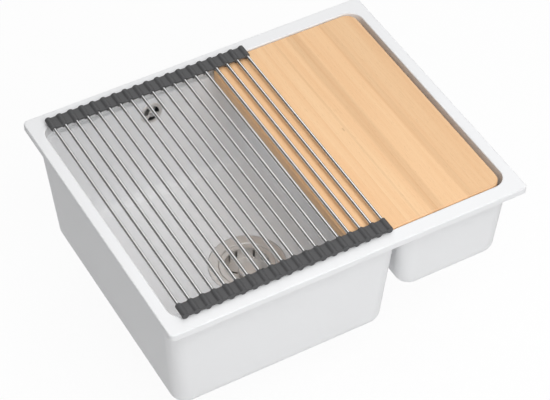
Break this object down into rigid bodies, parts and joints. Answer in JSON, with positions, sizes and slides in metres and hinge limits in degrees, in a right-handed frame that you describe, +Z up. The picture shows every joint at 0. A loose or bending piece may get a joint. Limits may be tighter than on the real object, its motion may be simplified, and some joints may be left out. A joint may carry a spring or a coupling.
{
  "type": "kitchen sink",
  "caption": "One and a half bowl composite kitchen sink with a sliding cutting board, a roll-up drying rack, basket wastes and an overflow.",
  "frame": {"origin": "centre of the rim's top face", "axes": "+X from the large bowl to the small bowl, +Y to the back, where the overflow is, +Z up out of the bowls"},
  "size_m": [0.555, 0.46, 0.2962],
  "materials": {
    "stone_composite": "fine matte moulded quartz composite",
    "board_wood": "edge-glued pale hardwood staves, sanded and oiled",
    "rod_steel": "satin drawn tube",
    "grip_silicone": "matte dark grey silicone",
    "strainer_steel": "polished pressed sheet",
    "screw_steel": "plain machined",
    "seal_rubber": "matte black rubber",
    "waste_plastic": "white moulded polypropylene"
  },
  "bodies": {
    "root": {"sink_body": "stone_composite", "main_strainer_flange": "strainer_steel", "main_flange_gasket": "seal_rubber", "main_under_washer": "seal_rubber", "main_waste_body": "waste_plastic", "main_clamp_screw": "screw_steel", "small_strainer_flange": "strainer_steel", "small_flange_gasket": "seal_rubber", "small_under_washer": "seal_rubber", "small_waste_body": "waste_plastic", "small_clamp_screw": "screw_steel", "overflow_rosette": "strainer_steel", "overflow_screw": "screw_steel", "overflow_gasket": "seal_rubber", "overflow_elbow": "waste_plastic"},
    "board": {"cutting_board": "board_wood"},
    "main_strainer": {"main_basket": "strainer_steel", "main_basket_knob": "strainer_steel", "main_basket_seal": "seal_rubber"},
    "small_strainer": {"small_basket": "strainer_steel", "small_basket_knob": "strainer_steel", "small_basket_seal": "seal_rubber"},
    "rack_link_01": {"rod_01": "rod_steel", "grip_01": "grip_silicone"},
    "rack_link_02": {"rod_02": "rod_steel", "grip_02": "grip_silicone"},
    "rack_link_03": {"rod_03": "rod_steel", "grip_03": "grip_silicone"},
    "rack_link_04": {"rod_04": "rod_steel", "grip_04": "grip_silicone"},
    "rack_link_05": {"rod_05": "rod_steel", "grip_05": "grip_silicone"},
    "rack_link_06": {"rod_06": "rod_steel", "grip_06": "grip_silicone"},
    "rack_link_07": {"rod_07": "rod_steel", "grip_07": "grip_silicone"},
    "rack_link_08": {"rod_08": "rod_steel", "grip_08": "grip_silicone"},
    "rack_link_09": {"rod_09": "rod_steel", "grip_09": "grip_silicone"},
    "rack_link_10": {"rod_10": "rod_steel", "grip_10": "grip_silicone"},
    "rack_link_11": {"rod_11": "rod_steel", "grip_11": "grip_silicone"},
    "rack_link_12": {"rod_12": "rod_steel", "grip_12": "grip_silicone"},
    "rack_link_13": {"rod_13": "rod_steel", "grip_13": "grip_silicone"},
    "rack_link_14": {"rod_14": "rod_steel", "grip_14": "grip_silicone"},
    "rack_link_15": {"rod_15": "rod_steel", "grip_15": "grip_silicone"},
    "rack_link_16": {"rod_16": "rod_steel", "grip_16": "grip_silicone"},
    "rack_link_17": {"rod_17": "rod_steel", "grip_17": "grip_silicone"},
    "rack_link_18": {"rod_18": "rod_steel", "grip_18": "grip_silicone"},
    "rack_link_19": {"rod_19": "rod_steel", "grip_19": "grip_silicone"}
  },
  "joints": [
    {"name": "board_slide", "type": "slide", "parent": "root", "child": "board", "axis": [1, 0, 0], "range_m": [-0.269, 0.006]},
    {"name": "main_strainer_lift", "type": "slide", "parent": "root", "child": "main_strainer", "axis": [0, 0, 1], "range_m": [0, 0.12]},
    {"name": "small_strainer_lift", "type": "slide", "parent": "root", "child": "small_strainer", "axis": [0, 0, 1], "range_m": [0, 0.08]},
    {"name": "rack_lift", "type": "slide", "parent": "root", "child": "rack_link_01", "axis": [0, 0, 1], "range_m": [0, 0.15]},
    {"name": "rack_roll_01", "type": "hinge", "parent": "rack_link_01", "child": "rack_link_02", "pos_m": [-0.23705, 0, 0.00725], "axis": [0, -1, 0], "range_deg": [0, 16]},
    {"name": "rack_roll_02", "type": "hinge", "parent": "rack_link_02", "child": "rack_link_03", "pos_m": [-0.21975, 0, 0.00725], "axis": [0, -1, 0], "range_deg": [0, 16]},
    {"name": "rack_roll_03", "type": "hinge", "parent": "rack_link_03", "child": "rack_link_04", "pos_m": [-0.20245, 0, 0.00725], "axis": [0, -1, 0], "range_deg": [0, 16]},
    {"name": "rack_roll_04", "type": "hinge", "parent": "rack_link_04", "child": "rack_link_05", "pos_m": [-0.18515, 0, 0.00725], "axis": [0, -1, 0], "range_deg": [0, 16]},
    {"name": "rack_roll_05", "type": "hinge", "parent": "rack_link_05", "child": "rack_link_06", "pos_m": [-0.16785, 0, 0.00725], "axis": [0, -1, 0], "range_deg": [0, 16]},
    {"name": "rack_roll_06", "type": "hinge", "parent": "rack_link_06", "child": "rack_link_07", "pos_m": [-0.15055, 0, 0.00725], "axis": [0, -1, 0], "range_deg": [0, 16]},
    {"name": "rack_roll_07", "type": "hinge", "parent": "rack_link_07", "child": "rack_link_08", "pos_m": [-0.13325, 0, 0.00725], "axis": [0, -1, 0], "range_deg": [0, 16]},
    {"name": "rack_roll_08", "type": "hinge", "parent": "rack_link_08", "child": "rack_link_09", "pos_m": [-0.11595, 0, 0.00725], "axis": [0, -1, 0], "range_deg": [0, 16]},
    {"name": "rack_roll_09", "type": "hinge", "parent": "rack_link_09", "child": "rack_link_10", "pos_m": [-0.09865, 0, 0.00725], "axis": [0, -1, 0], "range_deg": [0, 16]},
    {"name": "rack_roll_10", "type": "hinge", "parent": "rack_link_10", "child": "rack_link_11", "pos_m": [-0.08135, 0, 0.00725], "axis": [0, -1, 0], "range_deg": [0, 16]},
    {"name": "rack_roll_11", "type": "hinge", "parent": "rack_link_11", "child": "rack_link_12", "pos_m": [-0.06405, 0, 0.00725], "axis": [0, -1, 0], "range_deg": [0, 16]},
    {"name": "rack_roll_12", "type": "hinge", "parent": "rack_link_12", "child": "rack_link_13", "pos_m": [-0.04675, 0, 0.00725], "axis": [0, -1, 0], "range_deg": [0, 16]},
    {"name": "rack_roll_13", "type": "hinge", "parent": "rack_link_13", "child": "rack_link_14", "pos_m": [-0.02945, 0, 0.00725], "axis": [0, -1, 0], "range_deg": [0, 16]},
    {"name": "rack_roll_14", "type": "hinge", "parent": "rack_link_14", "child": "rack_link_15", "pos_m": [-0.01215, 0, 0.00725], "axis": [0, -1, 0], "range_deg": [0, 16]},
    {"name": "rack_roll_15", "type": "hinge", "parent": "rack_link_15", "child": "rack_link_16", "pos_m": [0.00515, 0, 0.00725], "axis": [0, -1, 0], "range_deg": [0, 16]},
    {"name": "rack_roll_16", "type": "hinge", "parent": "rack_link_16", "child": "rack_link_17", "pos_m": [0.02245, 0, 0.00725], "axis": [0, -1, 0], "range_deg": [0, 16]},
    {"name": "rack_roll_17", "type": "hinge", "parent": "rack_link_17", "child": "rack_link_18", "pos_m": [0.03975, 0, 0.00725], "axis": [0, -1, 0], "range_deg": [0, 16]},
    {"name": "rack_roll_18", "type": "hinge", "parent": "rack_link_18", "child": "rack_link_19", "pos_m": [0.05705, 0, 0.00725], "axis": [0, -1, 0], "range_deg": [0, 16]}
  ],
  "couplings": [
    {"joint": "rack_roll_02", "follows": "rack_roll_01", "ratio": 1},
    {"joint": "rack_roll_03", "follows": "rack_roll_01", "ratio": 1},
    {"joint": "rack_roll_04", "follows": "rack_roll_01", "ratio": 1},
    {"joint": "rack_roll_05", "follows": "rack_roll_01", "ratio": 1},
    {"joint": "rack_roll_06", "follows": "rack_roll_01", "ratio": 1},
    {"joint": "rack_roll_07", "follows": "rack_roll_01", "ratio": 1},
    {"joint": "rack_roll_08", "follows": "rack_roll_01", "ratio": 1},
    {"joint": "rack_roll_09", "follows": "rack_roll_01", "ratio": 1},
    {"joint": "rack_roll_10", "follows": "rack_roll_01", "ratio": 1},
    {"joint": "rack_roll_11", "follows": "rack_roll_01", "ratio": 1},
    {"joint": "rack_roll_12", "follows": "rack_roll_01", "ratio": 1},
    {"joint": "rack_roll_13", "follows": "rack_roll_01", "ratio": 1},
    {"joint": "rack_roll_14", "follows": "rack_roll_01", "ratio": 1},
    {"joint": "rack_roll_15", "follows": "rack_roll_01", "ratio": 1},
    {"joint": "rack_roll_16", "follows": "rack_roll_01", "ratio": 1},
    {"joint": "rack_roll_17", "follows": "rack_roll_01", "ratio": 1},
    {"joint": "rack_roll_18", "follows": "rack_roll_01", "ratio": 1}
  ]
}
